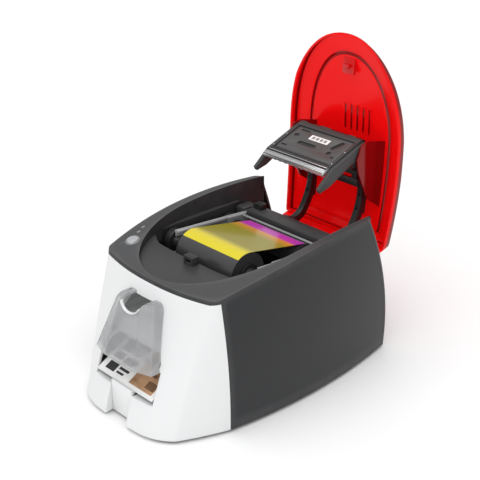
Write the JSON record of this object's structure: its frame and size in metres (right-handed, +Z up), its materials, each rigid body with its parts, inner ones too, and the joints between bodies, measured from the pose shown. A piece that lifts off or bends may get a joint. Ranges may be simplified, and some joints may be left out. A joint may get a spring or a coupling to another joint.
{
  "type": "id card printer",
  "caption": "Desktop card printer with a red arched cover standing open, a ribbon cassette in the bay, a smoky feeder door and a printed card in the outlet tray",
  "frame": {"origin": "centre of the underside of the middle foot, on the desk", "axes": "X to the right across the printer, Y from the front panel to the back, Z up"},
  "size_m": [0.212, 0.3521, 0.3471],
  "materials": {
    "dark_shell": "fine satin, moulded",
    "white_shell": "smooth satin, moulded",
    "red_clear": "clear red, gloss",
    "grey_deck": "fine satin, moulded",
    "pale_grey": "satin",
    "black_plastic": "matte",
    "grey_plastic": "satin",
    "nylon": "satin",
    "foot_rubber": "matte",
    "roller_rubber": "ground",
    "zinc_steel": "bright zinc",
    "shaft_steel": "ground",
    "satin_alu": "satin",
    "bronze": "sintered",
    "silver_plastic": "metallic satin",
    "card_pvc": "gloss, printed",
    "smoky_clear": "clear, smoke tint",
    "board": "solder mask",
    "ribbon_dye": "thin dyed film, yellow then magenta",
    "ribbon_roll": "wound film"
  },
  "bodies": {
    "casing": {"base_plate": "black_plastic", "rubber_feet": "foot_rubber", "front_panel": "white_shell", "housing": "dark_shell", "bay_frame": "grey_deck", "rear_beam": "grey_deck", "hinge_pins": "shaft_steel", "latch_catch": "dark_shell", "ribbon_sensor": "black_plastic", "button_bezel": "grey_plastic", "path_frame_left": "zinc_steel", "path_frame_right": "zinc_steel", "roller_bushes": "bronze", "card_guide": "zinc_steel", "card_hopper": "white_shell", "card_stack": "card_pvc", "output_tray": "white_shell", "motor": "zinc_steel", "main_board": "board", "power_inlet": "black_plastic", "usb_socket": "zinc_steel", "casing_screws": "zinc_steel"},
    "cover": {"cover_shell": "red_clear", "cover_hook": "dark_shell", "hinge_frame": "black_plastic", "head_springs": "shaft_steel", "head_pins": "shaft_steel"},
    "head": {"head_carriage": "grey_deck", "print_head": "satin_alu"},
    "cassette": {"cassette_plate_left": "pale_grey", "cassette_plate_right": "pale_grey", "cassette_ties": "pale_grey", "ribbon_film": "ribbon_dye"},
    "supply": {"supply_spool": "black_plastic", "supply_roll": "ribbon_roll"},
    "takeup": {"takeup_spool": "black_plastic", "takeup_roll": "ribbon_roll"},
    "platen": {"platen_shaft": "shaft_steel", "platen_rubber": "roller_rubber", "platen_gear": "nylon"},
    "feed": {"feed_shaft": "shaft_steel", "feed_rubber": "roller_rubber", "feed_gear": "nylon"},
    "pick": {"pick_shaft": "shaft_steel", "pick_rubber": "roller_rubber", "pick_gear": "nylon"},
    "idler_a": {"front_idler": "nylon"},
    "idler_b": {"rear_idler": "nylon"},
    "pinion": {"motor_pinion": "bronze"},
    "feeder_door": {"feeder_cover": "smoky_clear"},
    "button": {"power_button": "silver_plastic"},
    "card_out": {"printed_card": "card_pvc"}
  },
  "joints": [
    {"name": "lid_hinge", "type": "hinge", "parent": "casing", "child": "cover", "pos_m": [0, 0.1292, 0.1245], "axis": [-1, 0, 0], "range_deg": [-96, 0], "deforming": ["ribbon_film"]},
    {"name": "head_pivot", "type": "hinge", "parent": "cover", "child": "head", "pos_m": [0, 0.14682, 0.21656], "axis": [1, 0, 0], "range_deg": [-2, 0], "stiffness_Nm_per_rad": 1.5, "springref_deg": 5.73},
    {"name": "cassette_lift", "type": "slide", "parent": "casing", "child": "cassette", "axis": [0, -0.4356, 0.9002], "range_m": [0, 0.148]},
    {"name": "supply_spin", "type": "hinge", "parent": "cassette", "child": "supply", "pos_m": [0, -0.0145, 0.136], "axis": [1, 0, 0], "continuous": true},
    {"name": "takeup_spin", "type": "hinge", "parent": "cassette", "child": "takeup", "pos_m": [0, 0.06826, 0.12963], "axis": [1, 0, 0], "continuous": true},
    {"name": "platen_spin", "type": "hinge", "parent": "casing", "child": "platen", "pos_m": [0, 0.044, 0.0714], "axis": [1, 0, 0], "continuous": true},
    {"name": "idler_a_spin", "type": "hinge", "parent": "casing", "child": "idler_a", "pos_m": [0, 0.007, 0.0714], "axis": [1, 0, 0], "continuous": true},
    {"name": "feed_spin", "type": "hinge", "parent": "casing", "child": "feed", "pos_m": [0, -0.03, 0.0714], "axis": [1, 0, 0], "continuous": true},
    {"name": "idler_b_spin", "type": "hinge", "parent": "casing", "child": "idler_b", "pos_m": [0, -0.062, 0.0714], "axis": [1, 0, 0], "continuous": true},
    {"name": "pick_spin", "type": "hinge", "parent": "casing", "child": "pick", "pos_m": [0, -0.092, 0.0714], "axis": [1, 0, 0], "continuous": true},
    {"name": "pinion_spin", "type": "hinge", "parent": "casing", "child": "pinion", "pos_m": [0, 0.007, 0.0404], "axis": [1, 0, 0], "continuous": true},
    {"name": "feeder_door_hinge", "type": "hinge", "parent": "casing", "child": "feeder_door", "pos_m": [0, -0.1405, 0.071], "axis": [1, 0, 0], "range_deg": [0, 42]},
    {"name": "button_press", "type": "slide", "parent": "casing", "child": "button", "axis": [0, 0, -1], "range_m": [0, 0.0012], "stiffness_N_per_m": 400, "springref_m": -0.001},
    {"name": "card_slide", "type": "slide", "parent": "casing", "child": "card_out", "axis": [0, -0.9781, 0.2079], "range_m": [0, 0.025]}
  ],
  "couplings": [
    {"joint": "idler_a_spin", "follows": "platen_spin", "ratio": -0.48},
    {"joint": "feed_spin", "follows": "platen_spin", "ratio": 1},
    {"joint": "idler_b_spin", "follows": "platen_spin", "ratio": -0.6},
    {"joint": "pick_spin", "follows": "platen_spin", "ratio": 1.2},
    {"joint": "pinion_spin", "follows": "platen_spin", "ratio": 2}
  ]
}
